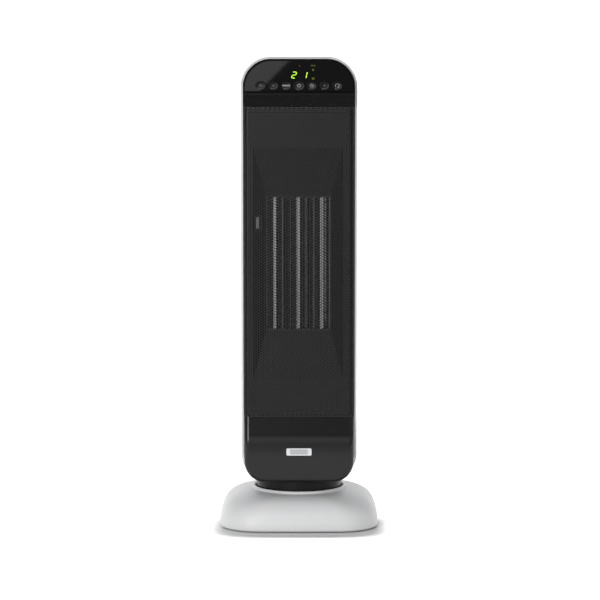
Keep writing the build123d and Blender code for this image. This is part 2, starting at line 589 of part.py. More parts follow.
ELEMENT_FRONT, ELEMENT_BACK = -38.6, -26.0
BAR_LOW, BAR_HIGH = WINDOW_LOW + 2.0, WINDOW_HIGH - 2.0
CELL = 10.0  # spacing of the upright walls in the element


def make_element():
    y0, y1 = ELEMENT_FRONT, ELEMENT_BACK
    left, right = WINDOW_X - 4 * CELL, WINDOW_X + 4 * CELL
    frame = box(left - 6, right + 6, y0, y1, WINDOW_LOW - 7, WINDOW_HIGH + 7)
    frame -= box(left - 0.6, right + 0.6, y0 - 1, y1 + 1, BAR_LOW, BAR_HIGH)
    bar_x = [WINDOW_X + 3 * CELL * k for k in (-1, 0, 1)]
    for x in bar_x:
        for z0, z1 in ((BAR_LOW - 4, BAR_LOW + 1), (BAR_HIGH - 1, BAR_HIGH + 4)):
            frame -= box(x - 2.1, x + 2.1, y0 + 0.9, y1 - 0.9, z0, z1)
    parts["element_frame"] = frame
    bars = []
    for x in bar_x:
        bar = box(x - 2.0, x + 2.0, y0 + 1, y1 - 1, BAR_LOW - 3.8, BAR_HIGH + 3.8)
        core = box(x - 1.1, x + 1.1, y0 + 2.2, y1 - 2.2, BAR_LOW - 10, BAR_HIGH + 10)
        bars.append(bar - core)
    parts["heater_bars"] = Compound(bars)
    stones = []
    count = 6
    length = (BAR_HIGH - BAR_LOW + 4) / count
    for x in bar_x:
        for i in range(count):
            z = BAR_LOW - 2 + i * length
            stones.append(box(x - 1.05, x + 1.05, y0 + 2.3, y1 - 2.3, z + 0.2, z + length - 0.2))
    parts["ptc_stones"] = Compound(stones)
    walls = [
        box(WINDOW_X + CELL * k - 0.4, WINDOW_X + CELL * k + 0.4, y0 + 1.5, y1 - 1.5,
            BAR_LOW + 0.2, BAR_HIGH - 0.2)
        for k in (-4, -2, -1, 1, 2, 4)
    ]
    parts["heater_fins"] = Compound(walls + [fin_ribbon(k) for k in range(8)])


def fin_ribbon(cell):
    """One corrugated ribbon of fins between two upright walls of the element."""
    left = WINDOW_X + CELL * (cell - 4)
    gap = {0: (0.45, 2.05), 1: (2.05, 0.45), 2: (0.45, 0.45), 3: (0.45, 2.05),
           4: (2.05, 0.45), 5: (0.45, 0.45), 6: (0.45, 2.05), 7: (2.05, 0.45)}[cell]
    x0, x1 = left + gap[0], left + CELL - gap[1]
    low, high, pitch, thick = BAR_LOW + 1.2, BAR_HIGH - 1.2, 3.5, 0.35
    count = int((high - low) / pitch) * 2
    step = (high - low) / count
    near = [((x0, x1 - thick)[i % 2], low + i * step) for i in range(count + 1)]
    far = [(x + thick, z) for x, z in reversed(near)]
    plane = Plane(origin=(0, ELEMENT_FRONT + 2.2, 0), x_dir=(1, 0, 0), z_dir=(0, -1, 0))
    return extrude(plane * make_face(Polyline(*near, *far, close=True)), -8.6)


# ---- crossflow fan and its motor ----
def make_fan():
    height = FAN_HIGH - FAN_LOW
    blades, hub_in = 28, 20.2
    blade = make_face(
        Curve()
        + [
            ThreePointArc((hub_in, 0), (23.4, 1.7), (FAN_RADIUS - 0.4, 5.2)),
            Line((FAN_RADIUS - 0.4, 5.2), (FAN_RADIUS + 0.0, 4.3)),
            ThreePointArc((FAN_RADIUS + 0.0, 4.3), (23.9, 0.7), (hub_in + 0.2, -0.9)),
            Line((hub_in + 0.2, -0.9), (hub_in, 0)),
        ]
    )
    wheel = [Pos(0, 0, 1) * Rot(0, 0, 360 / blades * i) * extrude(blade, height - 2) for i in range(blades)]
    impeller = tube(FAN_RADIUS + 0.3, hub_in - 3, 0, 0, height / 2 - 0.8, height / 2 + 0.8)
    for z0, z1, hub_z0, hub_z1 in ((0, 2, 0, 12), (height - 2, height, height - 12, height)):
        impeller += tube(FAN_RADIUS + 0.6, SHAFT_RADIUS, 0, 0, z0, z1)
        impeller += tube(6, SHAFT_RADIUS, 0, 0, hub_z0, hub_z1)
    impeller += wheel
    parts["fan_impeller"] = Pos(FAN_X, FAN_Y, FAN_LOW) * impeller
    parts["fan_shaft"] = rod(SHAFT_RADIUS, FAN_X, FAN_Y, MOTOR_LOW - 8, FAN_HIGH + 9)
    rotor = tube(11.5, SHAFT_RADIUS, FAN_X, FAN_Y, MOTOR_LOW + 1, MOTOR_LOW + 21)
    rotor -= [
        Pos(FAN_X, FAN_Y, 0) * Rot(0, 0, 20 * i) * rod(0.9, 10.0, 0, MOTOR_LOW, MOTOR_LOW + 30)
        for i in range(18)
    ]
    parts["motor_rotor"] = rotor


MOTOR_LOW, BUSH_RADIUS = 205.0, 4.55


def make_motor():
    x, y, low = FAN_X, FAN_Y, MOTOR_LOW
    stack = box(x - 26, x + 26, y - 17, y + 34, low + 1.5, low + 20.5)
    stack -= rod(11.9, x, y, low - 5, low + 30)
    stack -= box(x - 15, x + 15, y + 15, y + 24.5, low - 5, low + 30)
    stack -= [rod(2.1, x + s * 21, y + t, low - 5, low + 30) for s in (-1, 1) for t in (-12, 28)]
    parts["motor_stator"] = stack
    coil = box(x - 14.5, x + 14.5, y + 16.5, y + 38.5, low - 3.5, low + 25.5)
    coil = fillet(coil.edges().filter_by(Axis.X), 1.5)
    coil -= box(x - 20, x + 20, y + 24.3, y + 34.2, low + 1.3, low + 20.7)
    parts["motor_coil"] = coil
    brackets = [motor_bracket(low - 2.3, low + 1.4, -1), motor_bracket(low + 22.5, low + 20.6, 1)]
    parts["motor_brackets"] = Compound(brackets)
    bushes = [
        tube(BUSH_RADIUS, SHAFT_RADIUS + 0.03, x, y, z, z + 4.2)
        for z in (low - 7.4, low + 23.4, FAN_HIGH + 3.0)
    ]
    parts["shaft_bushes"] = Compound(bushes)


def motor_bracket(face, stack, way):
    """An end bracket with its bearing cup, from its inner face outwards, and its posts to the stack."""

    def span(start, end):
        return sorted((face + way * start, face + way * end))

    x, y = FAN_X, FAN_Y
    bracket = box(x - 25, x + 25, y - 15, y + 11, *span(0, 1.2)) - rod(13, x, y, *span(-1, 3))
    bracket += box(x - 25, x + 25, y - 5, y + 5, *span(1.2, 2.4)) + rod(6.4, x, y, *span(0.6, 5.4))
    bracket -= rod(BUSH_RADIUS + 0.05, x, y, *span(-10, 10))
    for side in (-21, 21):
        bracket += tube(3.2, 1.6, x + side, y - 12, *sorted((stack, face + way * 1.2)))
    return bracket


def make_scroll():
    z0, z1 = FAN_LOW - 1.5, FAN_HIGH + 1.5
    outlet_y = ELEMENT_BACK + 0.4

    def spiral(turn, extra):
        """A point on the rear wall, which leaves the impeller as it turns towards the outlet."""
        angle = math.radians(95 + 90 * turn)
        radius = FAN_RADIUS + 3.2 + 13.0 * turn**1.5 + extra
        return (FAN_X + radius * math.cos(angle), FAN_Y + radius * math.sin(angle))

    inner = [spiral(turn, 0.0) for turn in (0.0, 0.5, 1.0)]
    outer = [spiral(turn, 1.8) for turn in (1.0, 0.5, 0.0)]
    end_in, end_out = (WINDOW_X - WINDOW_HALF + 1.0, outlet_y), (WINDOW_X - WINDOW_HALF - 0.9, outlet_y)
    rear = make_face(
        Curve()
        + [
            ThreePointArc(*inner),
            Polyline(inner[-1], end_in, end_out, outer[0]),
            ThreePointArc(*outer),
            Line(outer[-1], inner[0]),
        ]
    )
    nose = (FAN_X + FAN_RADIUS + 3.4, FAN_Y - 6.0)
    tongue = make_face(
        Polyline(nose, (nose[0] + 2.4, nose[1] + 2.0), (WINDOW_X + WINDOW_HALF + 0.9, outlet_y),
                 (WINDOW_X + WINDOW_HALF - 1.0, outlet_y), close=True)
    )
    scroll = [Pos(0, 0, z0) * extrude(f, z1 - z0, dir=(0, 0, 1)) for f in (rear, tongue)]
    top = box(-46, 46, outlet_y, 46, z1 - 0.1, z1 + 2) + rod(8.5, FAN_X, FAN_Y, z1, FAN_HIGH + 7)
    top -= rod(4.6, FAN_X, FAN_Y, z1 - 1, FAN_HIGH + 10)
    parts["fan_scroll"] = top + scroll
    floor = box(-46, 46, outlet_y, 46, z0 - 2.2, z0 - 0.2)
    parts["scroll_floor"] = floor - rod(9.4, FAN_X, FAN_Y, z0 - 5, z0 + 5)


# ---- chassis, boards and leads ----
def make_chassis():
    low = NECK_TOP
    plate = rod(53.5, 0, 0, low, low + 3) & box(-60, 60, -42, 60, low, low + 3)
    plate -= rod(13, 0, 0, low - 1, low + 4)
    plate += box(-42, 46, 24.0, 26.5, low + 2.5, low + 26)
    for x in (-44.5, 42.0):
        plate += box(x, x + 2.5, -20, 8, low + 2.5, FAN_LOW - 3.8)
    for x, y in NECK_SPOTS:
        plate -= rod(4.0, x, y, low + 2.0, low + 30)
        plate -= rod(1.7, x, y, low - 1, low + 5)
    parts["tower_chassis"] = plate
    screws = [Pos(x, y, low + 2.0) * screw(1.4, 3.2, 14, 2) for x, y in NECK_SPOTS]
    parts["neck_screws"] = Compound(screws)


def make_boards():
    y, low = 22.0, 92.0
    parts["power_board"] = box(-38, 40, y, y + 1.6, low, 192)
    items = [
        box(-34, -15, y - 15.5, y, low + 14, low + 29),
        box(-34, -15, y - 15.5, y, low + 34, low + 49),
        box(-8, 14, y - 20, y, low + 12, low + 36),
        rod_y(6.5, 27, low + 18, y - 16, y),
        box(-2, 19, y - 8, y, low + 44, low + 56),
        box(24, 37, y - 12, y, low + 38, low + 66),
    ]
    fins = [box(24 + 2.6 * i, 25.2 + 2.6 * i, y - 18, y - 12, low + 38, low + 66) for i in range(5)]
    terminals = [box(-30 + 12 * i, -22 + 12 * i, y - 9, y, 174, 186) for i in range(4)]
    parts["board_parts"] = Compound(items + fins + terminals)


def bent_tube(points, radius, bend):
    path = FilletPolyline(*points, radius=bend)
    return sweep(Plane(origin=path @ 0, z_dir=path % 0) * Circle(radius), path=path)


def make_leads():
    leads = []
    for k, x in enumerate((WINDOW_X - 3 * CELL, WINDOW_X, WINDOW_X + 3 * CELL)):
        board_x, fold_y = -26 + 12 * k, 2 - 5 * k
        route = [
            (x, ELEMENT_BACK + 1.4, WINDOW_LOW - 10),
            (x, ELEMENT_BACK + 1.4, 214 - 5 * k),
            (board_x, fold_y, 203 - 4 * k),
            (board_x, 17.5, 199 - 4 * k),
            (board_x, 17.5, 186.1),
        ]
        leads.append(bent_tube(route, 1.2, 4))
    tags = []
    for x in (WINDOW_X - 3 * CELL, WINDOW_X, WINDOW_X + 3 * CELL):
        tag = box(x - 3.2, x + 3.2, ELEMENT_BACK - 0.8, ELEMENT_BACK, WINDOW_LOW - 16, WINDOW_LOW - 7.1)
        tags.append(tag)
    parts["element_leads"] = Compound(leads + tags)
    loom = [(46, -34, 556), (62, -28, 546), (66, -10, 520), (66, -10, 214), (52, 4, 188), (40.2, 16, 170)]
    parts["panel_lead"] = bent_tube(loom, 1.6, 6)


make_base()
make_swing_drive()
make_neck()
make_tip_switch()
make_rear_shell()
make_rear_fittings()
make_front_frame()
make_lower_fascia()
make_upper_fascia()
make_controls()
make_badge()
make_front_grille()
make_outlet_duct()
make_thermal_cutout()
make_element()
make_fan()
make_motor()
make_scroll()
make_chassis()
make_boards()
make_leads()

os.makedirs("parts", exist_ok=True)
for node, shape in parts.items():
    export_step(shape, f"parts/{node}.step")
print(len(parts), "nodes")
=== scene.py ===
"""Looks for the tower fan heater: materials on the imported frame, and the finer pieces it carries."""

import json
import math

import bpy
from mathutils import Matrix, Vector


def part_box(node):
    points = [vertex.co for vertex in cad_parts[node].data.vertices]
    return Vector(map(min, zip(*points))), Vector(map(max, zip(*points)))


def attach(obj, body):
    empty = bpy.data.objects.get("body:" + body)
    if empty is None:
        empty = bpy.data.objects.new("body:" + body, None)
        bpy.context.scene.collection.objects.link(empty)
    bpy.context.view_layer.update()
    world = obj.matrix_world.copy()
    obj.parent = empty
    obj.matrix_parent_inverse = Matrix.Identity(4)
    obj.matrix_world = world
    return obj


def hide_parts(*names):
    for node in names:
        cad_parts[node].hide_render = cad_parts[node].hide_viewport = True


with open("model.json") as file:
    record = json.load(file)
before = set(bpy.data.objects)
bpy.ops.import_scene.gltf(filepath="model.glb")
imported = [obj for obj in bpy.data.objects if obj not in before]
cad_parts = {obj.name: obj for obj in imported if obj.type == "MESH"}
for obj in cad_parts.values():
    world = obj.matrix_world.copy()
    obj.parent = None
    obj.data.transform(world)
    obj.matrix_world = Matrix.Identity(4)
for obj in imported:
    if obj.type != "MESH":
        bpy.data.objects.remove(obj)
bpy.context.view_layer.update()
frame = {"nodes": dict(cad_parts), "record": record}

MM = 0.001
PANEL_TILT = math.radians(36.0)  # how far the control panel leans back
UP_SLOPE = Vector((0, math.sin(PANEL_TILT), math.cos(PANEL_TILT)))
OUT_OF_PANEL = Vector((0, -math.cos(PANEL_TILT), math.sin(PANEL_TILT)))
PANEL_ORIGIN = Vector((0, -60.9 * MM, 557.4 * MM))  # the middle of the panel's lower edge
KEY_RISE = 9.4 * MM  # height of the row of keys up the panel
KEY_NAMES = ("light", "minus", "mode", "power", "timer", "plus", "swing")


# ---- materials ----
def surface(
    name,
    colour,
    rough,
    tint=None,
    tint_scale=6.0,
    rough_spread=0.06,
    grain=900.0,
    bump=0.04,
    stretch=(1, 1, 1),
    metallic=0.0,
    **sockets,
):
    """A procedural surface: slow colour drift, uneven roughness and a fine moulded or drawn grain."""
    mat = bpy.data.materials.new(name)
    mat.use_nodes = True
    nodes, links = mat.node_tree.nodes, mat.node_tree.links
    shader = nodes["Principled BSDF"]
    coords = nodes.new("ShaderNodeTexCoord")
    mapping = nodes.new("ShaderNodeMapping")
    mapping.inputs["Scale"].default_value = stretch
    links.new(coords.outputs["Object"], mapping.inputs["Vector"])

    drift = nodes.new("ShaderNodeTexNoise")
    drift.inputs["Scale"].default_value = tint_scale
    drift.inputs["Detail"].default_value = 3.0
    links.new(mapping.outputs["Vector"], drift.inputs["Vector"])
    mix = nodes.new("ShaderNodeMix")
    mix.data_type = "RGBA"
    tint = tint or tuple(c * 0.88 for c in colour)
    mix.inputs["A"].default_value = (*colour, 1)
    mix.inputs["B"].default_value = (*tint, 1)
    links.new(drift.outputs["Fac"], mix.inputs["Factor"])
    links.new(mix.outputs["Result"], shader.inputs["Base Color"])

    fine = nodes.new("ShaderNodeTexNoise")
    fine.inputs["Scale"].default_value = grain
    fine.inputs["Detail"].default_value = 2.0
    links.new(mapping.outputs["Vector"], fine.inputs["Vector"])
    spread = nodes.new("ShaderNodeMapRange")
    spread.inputs["To Min"].default_value = max(rough - rough_spread, 0.02)
    spread.inputs["To Max"].default_value = min(rough + rough_spread, 1.0)
    links.new(fine.outputs["Fac"], spread.inputs["Value"])
    links.new(spread.outputs["Result"], shader.inputs["Roughness"])
    relief = nodes.new("ShaderNodeBump")
    relief.inputs["Strength"].default_value = bump
    relief.inputs["Distance"].default_value = 0.2 * MM
    links.new(fine.outputs["Fac"], relief.inputs["Height"])
    links.new(relief.outputs["Normal"], shader.inputs["Normal"])

    shader.inputs["Metallic"].default_value = metallic
    for socket, value in sockets.items():
        shader.inputs[socket.replace("_", " ")].default_value = value
    return mat


def glowing(name, colour, strength):
    """A lit display mark whose brightness is a little uneven."""
    mat = surface(name, colour, 0.5, grain=1500.0, bump=0.01)
    shader = mat.node_tree.nodes["Principled BSDF"]
    shader.inputs["Emission Color"].default_value = (*colour, 1)
    shader.inputs["Emission Strength"].default_value = strength
    return mat


# Each material slot: its colour, its roughness, and what else sets it apart.
FINISHES = {
    "white_plastic": ((0.76, 0.77, 0.78), 0.32, dict(tint=(0.72, 0.73, 0.745), grain=1400.0)),
    "base_plastic": ((0.67, 0.67, 0.673), 0.45, dict(tint=(0.645, 0.648, 0.652), grain=1400.0)),
    "black_gloss": ((0.008, 0.008, 0.0082), 0.20,
                    dict(rough_spread=0.03, bump=0.02, Specular_IOR_Level=0.28)),
    "black_satin": ((0.002, 0.002, 0.0021), 0.28, dict(bump=0.05, Specular_IOR_Level=0.14)),
    "dark_plastic": ((0.008, 0.008, 0.0084), 0.50, dict(bump=0.08, Specular_IOR_Level=0.35)),
    "grille_black": ((0.013, 0.013, 0.0135), 0.42, dict(bump=0.05, Specular_IOR_Level=0.32)),
    "key_black": ((0.012, 0.012, 0.0125), 0.16, dict(bump=0.01)),
    "display_black": ((0.003, 0.003, 0.0034), 0.03, dict(rough_spread=0.01, bump=0.001)),
    "badge_silver": ((0.72, 0.73, 0.74), 0.28,
                     dict(stretch=(1, 1, 30), grain=260.0, bump=0.1, metallic=1.0)),
    "screw_steel": ((0.50, 0.50, 0.49), 0.35, dict(grain=500.0, bump=0.12, metallic=1.0)),
    "motor_steel": ((0.34, 0.34, 0.35), 0.42,
                    dict(stretch=(1, 1, 24), grain=120.0, bump=0.3, metallic=1.0)),
    "shaft_steel": ((0.60, 0.60, 0.61), 0.22, dict(stretch=(1, 1, 8), grain=400.0, metallic=1.0)),
    # fin_aluminium is far darker than bar_aluminium, and its drift is darker still: painted shade deep among
    # the fins.
    "fin_aluminium": ((0.32, 0.32, 0.33), 0.30,
                      dict(tint=(0.12, 0.12, 0.125), tint_scale=60.0, stretch=(1, 6, 1), grain=300.0,
                           metallic=1.0)),
    "bar_aluminium": ((0.48, 0.48, 0.49), 0.34, dict(stretch=(8, 8, 1), grain=300.0, metallic=1.0)),
    "copper_coil": ((0.55, 0.24, 0.08), 0.4, dict(stretch=(1, 14, 14), grain=90.0, bump=0.5, metallic=0.7)),
    "bush_bronze": ((0.56, 0.38, 0.18), 0.45, dict(grain=1200.0, bump=0.2, metallic=1.0)),
    "foot_rubber": ((0.025, 0.025, 0.026), 0.78, dict(grain=700.0, bump=0.25)),
    "nylon_natural": ((0.70, 0.67, 0.58), 0.45, dict(Subsurface_Weight=0.2)),
    "board_green": ((0.02, 0.13, 0.06), 0.3, dict(tint=(0.03, 0.2, 0.09), tint_scale=160.0)),
    "board_cream": ((0.50, 0.38, 0.20), 0.5, dict(tint=(0.42, 0.30, 0.15), tint_scale=90.0)),
    "lead_sleeve": ((0.70, 0.68, 0.62), 0.8, dict(stretch=(1, 1, 3), grain=900.0, bump=0.5)),
    "lead_black": ((0.02, 0.02, 0.02), 0.5, dict(bump=0.1)),
    "ceramic_stone": ((0.16, 0.155, 0.15), 0.7, dict(grain=1500.0, bump=0.3)),
    "cutout_white": ((0.85, 0.84, 0.80), 0.25, dict(Coat_Weight=0.5)),
    "impeller_plastic": ((0.03, 0.03, 0.032), 0.5, dict(bump=0.08)),
    "filter_net": ((0.03, 0.03, 0.033), 0.8, dict(grain=2500.0, bump=0.6)),
    "element_resin": ((0.035, 0.033, 0.03), 0.6, dict(grain=600.0, bump=0.2)),
}
MATERIALS = {
    name: surface(name, colour, rough, **more)
    for name, (colour, rough, more) in FINISHES.items()
}
LIT_FIGURES = glowing("lit_figures", (0.52, 0.95, 0.02), 0.95)
LIT_SYMBOLS = glowing("lit_symbols", (0.24, 0.27, 0.02), 0.24)
LIT_RED = glowing("lit_red", (0.22, 0.035, 0.008), 0.35)
KEY_PRINT = surface("key_print", (0.62, 0.62, 0.63), 0.5, grain=1800.0)
KEY_PRINT_DIM = surface("key_print_dim", (0.20, 0.20, 0.21), 0.5, grain=1800.0)
BADGE_ENAMEL = surface("badge_enamel", (0.02, 0.02, 0.022), 0.3, Coat_Weight=0.6)


for subpart in frame["record"]["subparts"]:
    node = frame["nodes"][subpart["node"]]
    slot = subpart["material_slot"]
    node.data.materials.clear()
    node.data.materials.append(MATERIALS[slot])


# ---- mesh helpers ----
def piece_from(name, verts, faces, mat, body, smooth=False):
    """A mesh object that rides on a body."""
    mesh = bpy.data.meshes.new(name)
    mesh.from_pydata([tuple(v) for v in verts], [], faces)
    mesh.validate()
    mesh.materials.append(mat)
    if smooth:
        mesh.shade_smooth()
    piece = bpy.data.objects.new(name, mesh)
    bpy.context.collection.objects.link(piece)
    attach(piece, body)
    return piece


def slabs(outlines, place, thickness):
    """Thin closed slabs from flat outlines in (u, v); place(u, v, height) puts a corner in the room."""
    verts, faces = [], []
    for outline in outlines:
        start, count = len(verts), len(outline)
        verts += [place(u, v, 0) for u, v in outline]
        verts += [place(u, v, thickness) for u, v in outline]
        faces.append([start + i for i in reversed(range(count))])
        faces.append([start + count + i for i in range(count)])
        for i in range(count):
            j = (i + 1) % count
            faces.append([start + i, start + j, start + count + j, start + count + i])
    return verts, faces


def stroke(points, width, closed=False):
    """The outline pieces of a line of even width: one four-cornered slab per run."""
    lap = 0.35  # how far a run passes its ends, as a share of half its width
    outlines = []
    runs = list(zip(points, points[1:] + points[:1] if closed else points[1:]))
    for (u0, v0), (u1, v1) in runs:
        length = math.hypot(u1 - u0, v1 - v0)
        du, dv = (u1 - u0) / length * width / 2, (v1 - v0) / length * width / 2
        a, b = (u0 - du * lap, v0 - dv * lap), (u1 + du * lap, v1 + dv * lap)
        outlines.append([(a[0] - dv, a[1] + du), (a[0] + dv, a[1] - du),
                         (b[0] + dv, b[1] - du), (b[0] - dv, b[1] + du)])
    return outlines


def arc(radius, start, end, count=16, centre=(0, 0)):
    """Points along an arc, with its angles in degrees."""
    step = (end - start) / count
    angles = [math.radians(start + step * i) for i in range(count + 1)]
    return [(centre[0] + radius * math.cos(a), centre[1] + radius * math.sin(a)) for a in angles]


def disc(radius, centre=(0, 0), count=24):
    """The outline of a disc."""
    return arc(radius, 0, 360 - 360 / count, count - 1, centre)


def panel_point(u, v, height):
    """A point on the control panel: u across, v up the slope from its lower edge, height above its face."""
    return PANEL_ORIGIN + Vector((u, 0, 0)) + UP_SLOPE * v + OUT_OF_PANEL * height


# ---- outlet grille ----
def honeycomb_grille():
    """A sheet of six-sided cells that wraps round the tower's front edges, for the plain outlet grille."""
    low, high = (Vector(c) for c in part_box("front_grille"))
    pitch, web, thick, bend = 3.5 * MM, 0.85 * MM, 1.3 * MM, 6.5 * MM
    side_margin, row_margin, end_web, weld = 1.2 * pitch, 0.45 * pitch, 0.5 * MM, 0.01 * MM
    half = (high.x - low.x) / 2
    flat, quarter = half - bend, bend * math.pi / 2
    reach = flat + quarter + (high.y - low.y - bend)
    height = high.z - low.z

    def bent(s, z, depth):
        side, run = math.copysign(1, s), abs(s)
        if run <= flat:
            return (s, low.y + depth, low.z + z)
        if run <= flat + quarter:
            turn = (run - flat) / bend
            radius = bend - depth
            return (side * (flat + radius * math.sin(turn)),
                    low.y + bend - radius * math.cos(turn), low.z + z)
        return (side * (half - depth), low.y + bend + run - flat - quarter, low.z + z)

    corner_radius, column_step = pitch / math.sqrt(3), pitch * math.sqrt(3) / 2
    columns = int(reach / column_step) + 1
    rows = int(height / pitch) + 2
    corners, flat_points, front = {}, [], []

    def corner(s, z):
        s, z = max(-reach, min(reach, s)), max(0.0, min(height, z))
        key = (round(s / weld), round(z / weld))
        if key not in corners:
            corners[key] = len(flat_points)
            flat_points.append((s, z))
        return corners[key]

    shrink = (pitch - web) / pitch
    for i in range(-columns, columns + 1):
        for j in range(rows):
            s = i * column_step
            z = (j + (0.5 if i % 2 else 0.0)) * pitch
            turns = [k * math.pi / 3 for k in range(6)]
            ring = [(s + corner_radius * math.cos(t), z + corner_radius * math.sin(t)) for t in turns]
            outer = [corner(*p) for p in ring]
            if len(set(outer)) < 3:
                continue
            open_cell = abs(s) < reach - side_margin and row_margin < z < height - row_margin
            if not open_cell:
                front.append(list(dict.fromkeys(outer)))
                continue
            inner = []
            for p in ring:
                inner.append(len(flat_points))
                z_in = max(end_web, min(height - end_web, z + (p[1] - z) * shrink))
                flat_points.append((s + (p[0] - s) * shrink, z_in))
            for k in range(6):
                m = (k + 1) % 6
                quad = [outer[k], outer[m], inner[m], inner[k]]
                front.append(list(dict.fromkeys(quad)))
    front = [f for f in front if len(f) > 2]
    count = len(flat_points)
    verts = [bent(s, z, 0.0) for s, z in flat_points] + [bent(s, z, thick) for s, z in flat_points]
    faces = list(front) + [[i + count for i in reversed(f)] for f in front]
    uses = {}
    for f in front:
        for a, b in zip(f, f[1:] + f[:1]):
            uses[(a, b)] = uses.get((a, b), 0) + 1
    for a, b in uses:
        if (b, a) not in uses:
            faces.append([b, a, a + count, b + count])
    grille = piece_from("outlet_honeycomb", verts, faces, MATERIALS["grille_black"], "tower")
    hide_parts("front_grille")


honeycomb_grille()


# ---- control keys ----
def key_cap(key):
    """A round flat key with a rolled rim, in place of its plain cap."""
    node = "key_" + key
    low, high = (Vector(c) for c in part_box(node))
    radius = (high.x - low.x) / 2
    u = (high.x + low.x) / 2
    dish, skirt, stem, foot = 0.12 * MM, 4.2 * MM, 2.2 * MM, 6.0 * MM
    profile = [(0, -dish), (radius * 0.5, -dish), (radius - 1.0 * MM, -0.10 * MM),
               (radius - 0.8 * MM, 0.0), (radius - 0.45 * MM, -0.03 * MM), (radius - 0.12 * MM, -0.3 * MM),
               (radius, -0.8 * MM), (radius, -skirt), (stem, -skirt), (stem, -foot), (0, -foot)]
    turns, sharp_edge = 56, 40
    verts, faces = [], []
    for r, h in profile[1:-1]:
        for k in range(turns):
            angle = 2 * math.pi * k / turns
            verts.append(panel_point(u + r * math.cos(angle), KEY_RISE + r * math.sin(angle), h))
    rings = len(profile) - 2
    for ring in range(rings - 1):
        for k in range(turns):
            m = (k + 1) % turns
            a, b = ring * turns, (ring + 1) * turns
            faces.append([a + m, a + k, b + k, b + m])
    top, bottom = len(verts), len(verts) + 1
    verts += [panel_point(u, KEY_RISE, profile[0][1]), panel_point(u, KEY_RISE, profile[-1][1])]
    last = (rings - 1) * turns
    for k in range(turns):
        m = (k + 1) % turns
        faces.append([top, k, m])
        faces.append([bottom, last + m, last + k])
    cap = piece_from("cap_" + key, verts, faces, MATERIALS["key_black"], node, smooth=True)
    cap.data.set_sharp_from_angle(angle=math.radians(sharp_edge))
    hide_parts(node)
    return u


def key_mark(key):
    """The flat strokes of the symbol on a key, in millimetres round its centre."""
    if key == "light":
        rays = [stroke([(1.5 * math.cos(a), 1.5 * math.sin(a)), (2.2 * math.cos(a), 2.2 * math.sin(a))], 0.35)
                for a in (math.pi / 4 * k for k in range(8))]
        return [disc(0.9)] + sum(rays, [])
    if key == "minus":
        return stroke([(-1.2, 0), (1.2, 0)], 0.9)
    if key == "mode":
        waves = []
        for level in (-0.5, 0.5):
            wave = [(-4.7 + 0.55 * i, level + 0.25 * math.sin(i * math.pi / 3)) for i in range(18)]
            waves += stroke(wave, 0.72)
        return waves
    if key == "power":
        return stroke(arc(2.1, -240, 60, 22), 0.65) + stroke([(0, 0.7), (0, 2.9)], 0.65)
    if key == "timer":
        return stroke(arc(2.2, 0, 360, 26), 0.55) + stroke([(0, 1.4), (0, 0), (1.1, -0.6)], 0.5)
    if key == "plus":
        return stroke([(-1.6, 0), (1.6, 0)], 0.7) + stroke([(0, -1.6), (0, 1.6)], 0.7)
    left_bow = stroke(arc(2.4, 235, 80, 14), 0.7)
    right_bow = stroke(arc(2.4, 55, -80, 14), 0.7)
    tip = [(2.0, -3.3), (0.3, -3.2), (1.2, -1.5)]
    return left_bow + right_bow + [tip]


KEY_INK, KEY_INK_SINK = 0.08 * MM, 0.14 * MM  # thickness of the key symbols, and how deep they start

for key in KEY_NAMES:
    key_u = key_cap(key)
    mark = [[(u * MM, v * MM) for u, v in outline] for outline in key_mark(key)]
    verts, faces = slabs(
        mark, lambda u, v, h: panel_point(key_u + u, KEY_RISE + v, h - KEY_INK_SINK), KEY_INK
    )
    ink = KEY_PRINT_DIM if key in ("light", "minus", "plus") else KEY_PRINT
    piece_from("mark_" + key, verts, faces, ink, "key_" + key)


# ---- display ----
INK = 0.06 * MM  # thickness of the lit display marks


def figure(lit, u, v, width=4.6, height=9.4, bar=1.15, slant=0.17):
    """A seven-bar figure. Bars are named by the letters a to g, clockwise from the top, then the middle."""
    w, h, gap = width / 2, height / 2, 0.18
    ends = {"a": ((-w, h), (w, h)), "b": ((w, h), (w, 0)), "c": ((w, 0), (w, -h)), "d": ((-w, -h), (w, -h)),
            "e": ((-w, 0), (-w, -h)), "f": ((-w, h), (-w, 0)), "g": ((-w, 0), (w, 0))}
    outlines = []
    for name in lit:
        (x0, y0), (x1, y1) = ends[name]
        along = Vector((x1 - x0, y1 - y0)).normalized()
        across = Vector((-along.y, along.x)) * bar / 2
        start, end = Vector((x0, y0)) + along * gap, Vector((x1, y1)) - along * gap
        tip = along * bar / 2
        ring = [start, start + tip + across, end - tip + across,
                end, end - tip - across, start + tip - across]
        outlines.append([((u + p.x + p.y * slant) * MM, (v + p.y) * MM) for p in ring])
    return [o if signed_area(o) > 0 else o[::-1] for o in outlines]


def signed_area(outline):
    """The area inside an outline: above zero when it runs anticlockwise."""
    pairs = zip(outline, outline[1:] + outline[:1])
    return sum(a[0] * b[1] - b[0] * a[1] for a, b in pairs) / 2


def on_lens(u, v, h):
    """A point just proud of the control lens."""
    return panel_point(u, v, h + 0.01 * MM)


FIGURE_ROW, TENS_U, UNITS_U = 25.6, -6.2, 7.4  # places of the two figures, in millimetres on the panel
digits = figure("abged", TENS_U, FIGURE_ROW) + figure("bc", UNITS_U, FIGURE_ROW)
verts, faces = slabs(digits, on_lens, INK)
piece_from("display_figures", verts, faces, LIT_FIGURES, "tower")

